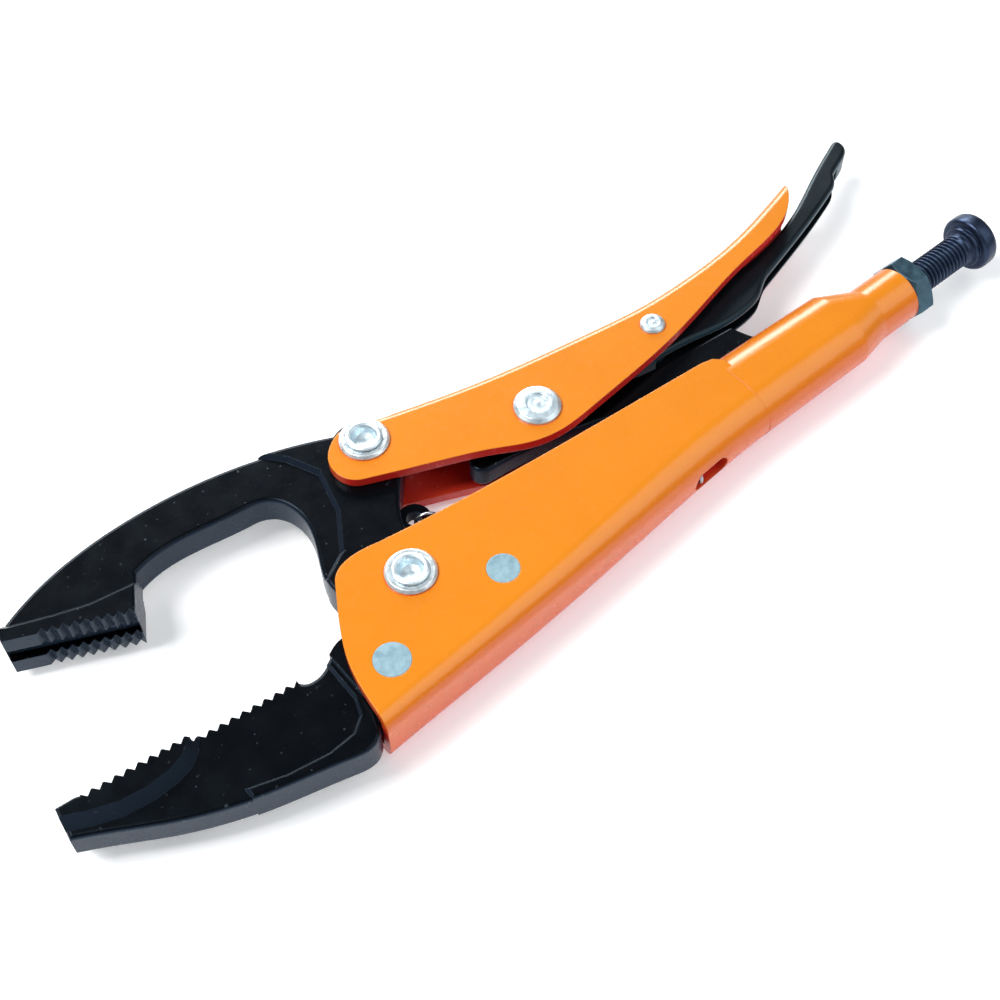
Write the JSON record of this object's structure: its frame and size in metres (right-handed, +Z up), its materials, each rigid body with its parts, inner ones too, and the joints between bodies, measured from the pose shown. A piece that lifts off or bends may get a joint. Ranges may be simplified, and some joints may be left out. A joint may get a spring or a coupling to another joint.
{
  "type": "locking c clamp",
  "caption": "Locking C-clamp pliers: toothed swinging jaw and fixed jaw on a pressed channel handle, over-centre hand lever with release trigger, and an adjusting screw.",
  "frame": {"origin": "centre of the bounding box, on the surface that the tool lies on", "axes": "+X along the handles from the jaws to the adjusting screw, +Y from the fixed handle to the hand lever, +Z up through the tool's thickness, the tool lying on its side"},
  "size_m": [0.3134, 0.0954, 0.024],
  "materials": {
    "orange_paint": "gloss",
    "black_forging": "gloss black enamel",
    "black_pressing": "satin black",
    "zinc_rivet": "bright zinc",
    "zinc_washer": "bright zinc",
    "black_oxide_screw": "black oxide",
    "spring_steel": "oiled spring steel"
  },
  "bodies": {
    "body": {"body_channel": "orange_paint", "fixed_jaw": "black_forging", "fixed_jaw_rivet_front": "zinc_rivet", "fixed_jaw_rivet_rear": "zinc_rivet", "tension_spring": "spring_steel"},
    "jaw_pivot": {"jaw_pivot_rivet": "zinc_rivet", "jaw_rivet_washer_near": "zinc_washer", "jaw_rivet_washer_far": "zinc_washer"},
    "jaw": {"movable_jaw": "black_forging"},
    "spring_hook": {"spring_front_hook": "spring_steel"},
    "lever_pivot": {"lever_pivot_rivet": "zinc_rivet", "lever_rivet_washer_near": "zinc_washer", "lever_rivet_washer_far": "zinc_washer"},
    "lever": {"lever_channel": "orange_paint", "link_pivot_rivet": "zinc_rivet", "trigger_pivot_rivet": "zinc_rivet"},
    "link": {"toggle_link": "black_forging"},
    "trigger": {"release_trigger": "black_pressing"},
    "screw_ring": {"screw_stop_ring": "spring_steel"},
    "screw": {"adjusting_screw": "black_oxide_screw"},
    "nut": {"lock_nut": "black_oxide_screw"}
  },
  "joints": [
    {"name": "screw_travel", "type": "slide", "parent": "body", "child": "screw_ring", "axis": [-1, 0, 0], "range_m": [0, 0.0196]},
    {"name": "screw_turn", "type": "hinge", "parent": "screw_ring", "child": "screw", "pos_m": [0.11815, -0.02872, 0.012], "axis": [-1, 0, 0], "range_deg": [0, 4710]},
    {"name": "nut_back_off", "type": "slide", "parent": "body", "child": "nut", "axis": [1, 0, 0], "range_m": [0, 0.003]},
    {"name": "jaw_adjust", "type": "hinge", "parent": "body", "child": "jaw_pivot", "pos_m": [-0.05185, -0.01692, 0.012], "axis": [0, 0, 1], "range_deg": [0, 23.65], "deforming": ["tension_spring"]},
    {"name": "jaw_open", "type": "hinge", "parent": "jaw_pivot", "child": "jaw", "pos_m": [-0.05185, -0.01692, 0.012], "axis": [0, 0, -1], "range_deg": [0, 6.98]},
    {"name": "spring_hook_swivel", "type": "hinge", "parent": "jaw", "child": "spring_hook", "pos_m": [-0.03805, -0.00012, 0.012], "axis": [0, 0, -1], "range_deg": [0, 23.85]},
    {"name": "lever_adjust", "type": "hinge", "parent": "jaw", "child": "lever_pivot", "pos_m": [-0.03545, 0.02438, 0.012], "axis": [0, 0, -1], "range_deg": [0, 25.48]},
    {"name": "lever_swing", "type": "hinge", "parent": "lever_pivot", "child": "lever", "pos_m": [-0.03545, 0.02438, 0.012], "axis": [0, 0, 1], "range_deg": [0, 32]},
    {"name": "link_fold", "type": "hinge", "parent": "lever", "child": "link", "pos_m": [0.00775, 0.00278, 0.012], "axis": [0, 0, -1], "range_deg": [0, 40.52]},
    {"name": "trigger_squeeze", "type": "hinge", "parent": "lever", "child": "trigger", "pos_m": [0.05185, 0.00378, 0.012], "axis": [0, 0, 1], "range_deg": [0, 2.5]}
  ],
  "couplings": [
    {"joint": "screw_travel", "follows": "jaw_adjust", "m_per_rad": 0.047234},
    {"joint": "screw_turn", "follows": "jaw_adjust", "ratio": 197.85},
    {"joint": "spring_hook_swivel", "follows": "jaw_adjust", "ratio": 1},
    {"joint": "lever_adjust", "follows": "jaw_adjust", "ratio": 1.0689},
    {"joint": "jaw_open", "follows": "lever_swing", "ratio": 0.215},
    {"joint": "link_fold", "follows": "lever_swing", "ratio": 1.26}
  ]
}
